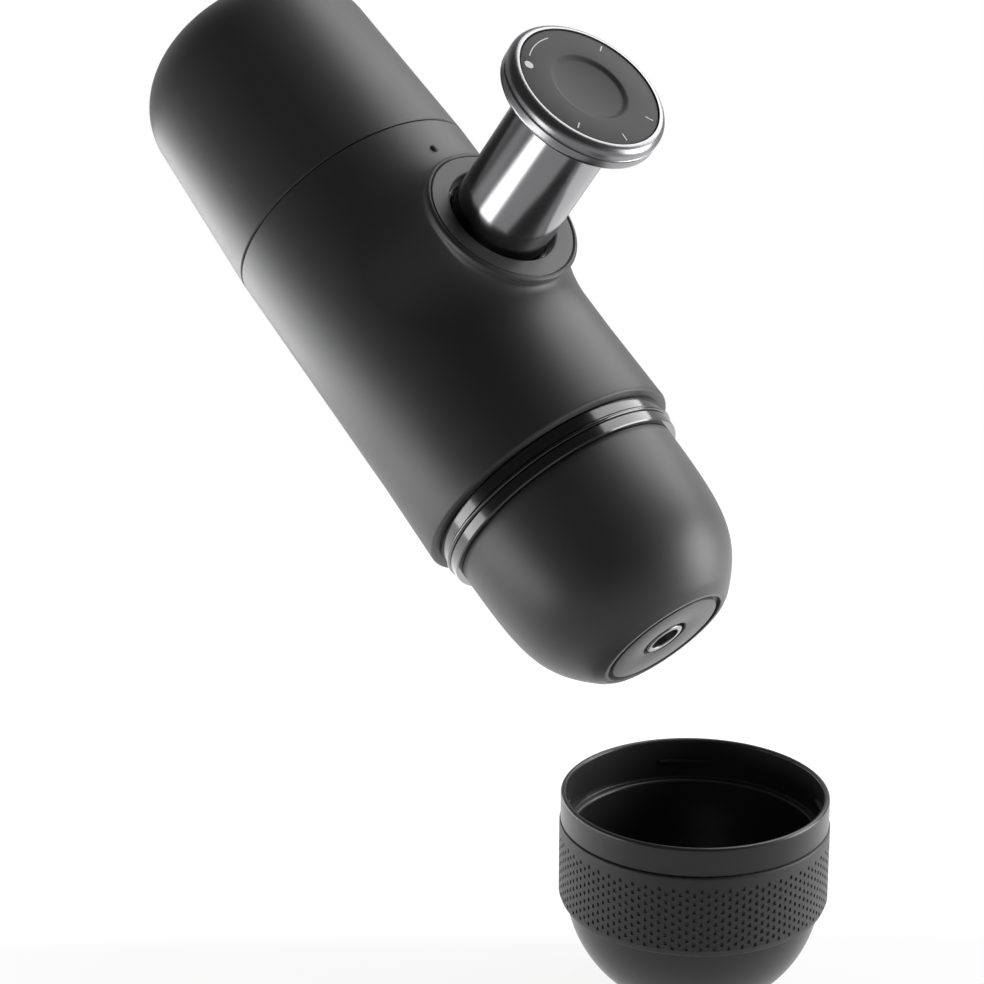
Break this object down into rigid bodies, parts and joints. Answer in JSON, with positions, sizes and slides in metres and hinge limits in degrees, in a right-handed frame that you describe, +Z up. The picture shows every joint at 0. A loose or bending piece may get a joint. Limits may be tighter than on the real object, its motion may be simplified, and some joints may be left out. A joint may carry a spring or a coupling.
{
  "type": "handheld manual espresso maker",
  "caption": "Handheld espresso maker with a side piston, screw-on water tank, filter basket and domed outlet head, tipped over its own cup.",
  "frame": {"origin": "where the body's long axis crosses the piston's axis, inside the main body, at the hand's grip", "axes": "+Z up, +X the level heading that the outlet points along, +Y to the left of it; the maker is tipped so that its outlet points 39 degrees below +X and its piston 39 degrees forward of +Z; the cup stands upright below"},
  "size_m": [0.1865, 0.0608, 0.2042],
  "materials": {
    "body_shell": "soft-touch matte charcoal, fine moulded grain",
    "tank_shell": "soft-touch matte charcoal, fine moulded grain",
    "head_shell": "satin charcoal, fine moulded grain",
    "gloss_black": "glossy black moulded plastic",
    "inner_black": "plain black moulded plastic",
    "inner_grey": "plain dark grey moulded plastic",
    "pump_plastic": "smooth pale grey moulded plastic",
    "polished_steel": "polished stainless steel",
    "plain_steel": "bright stainless steel",
    "knob_plate": "satin dark grey with a turned sheen",
    "silicone": "soft translucent grey silicone",
    "cup_black": "satin outside, glossy inside, black",
    "sleeve_rubber": "matte rubber with a field of small dimples"
  },
  "bodies": {
    "body": {"main_body": "body_shell", "boss_ring": "body_shell", "tube_guide": "gloss_black", "chassis": "inner_black", "tank_strainer": "plain_steel", "valve_block": "inner_grey", "pump_cylinder": "pump_plastic", "cylinder_seal": "silicone", "rod_guide": "inner_grey", "inlet_valve": "silicone", "outlet_valve": "silicone", "brew_head": "inner_grey", "brew_screws": "plain_steel", "shower_plate": "plain_steel", "brew_gasket": "silicone", "neck_collar": "gloss_black", "neck_bead": "gloss_black", "return_spring": "plain_steel"},
    "plunger": {"plunger_rod": "plain_steel", "piston_seal": "silicone"},
    "knob": {"piston_tube": "polished_steel", "knob_rim": "polished_steel", "knob_disc": "knob_plate"},
    "tank_seal": {"tank_gasket": "silicone"},
    "tank": {"water_tank": "tank_shell"},
    "basket": {"filter_basket": "plain_steel"},
    "head": {"head_collar": "gloss_black", "outlet_head": "head_shell", "outlet_funnel": "inner_black", "nozzle": "polished_steel"},
    "cup": {"cup_shell": "cup_black", "cup_sleeve": "sleeve_rubber"}
  },
  "joints": [
    {"name": "piston_stroke", "type": "slide", "parent": "body", "child": "plunger", "axis": [-0.6293, 0, -0.7771], "range_m": [0, 0.033], "stiffness_N_per_m": 200, "springref_m": -0.012, "deforming": ["return_spring"]},
    {"name": "knob_turn", "type": "hinge", "parent": "plunger", "child": "knob", "pos_m": [0, 0, 0], "axis": [0.6293, 0, 0.7771], "range_deg": [-48, 0]},
    {"name": "tank_lift", "type": "slide", "parent": "body", "child": "tank_seal", "axis": [-0.7771, 0, 0.6293], "range_m": [0, 0.003]},
    {"name": "tank_turn", "type": "hinge", "parent": "tank_seal", "child": "tank", "pos_m": [0, 0, 0], "axis": [-0.7771, 0, 0.6293], "range_deg": [0, 271]},
    {"name": "head_drop", "type": "slide", "parent": "body", "child": "basket", "axis": [0.7771, 0, -0.6293], "range_m": [0, 0.003]},
    {"name": "head_turn", "type": "hinge", "parent": "basket", "child": "head", "pos_m": [0, 0, 0], "axis": [0.7771, 0, -0.6293], "range_deg": [0, 271]},
    {"name": "cup_lift", "type": "slide", "parent": "body", "child": "cup", "axis": [0, 0, 1], "range_m": [0, 0.015]}
  ],
  "couplings": [
    {"joint": "tank_turn", "follows": "tank_lift", "rad_per_m": 1570.8},
    {"joint": "head_turn", "follows": "head_drop", "rad_per_m": 1570.8}
  ]
}
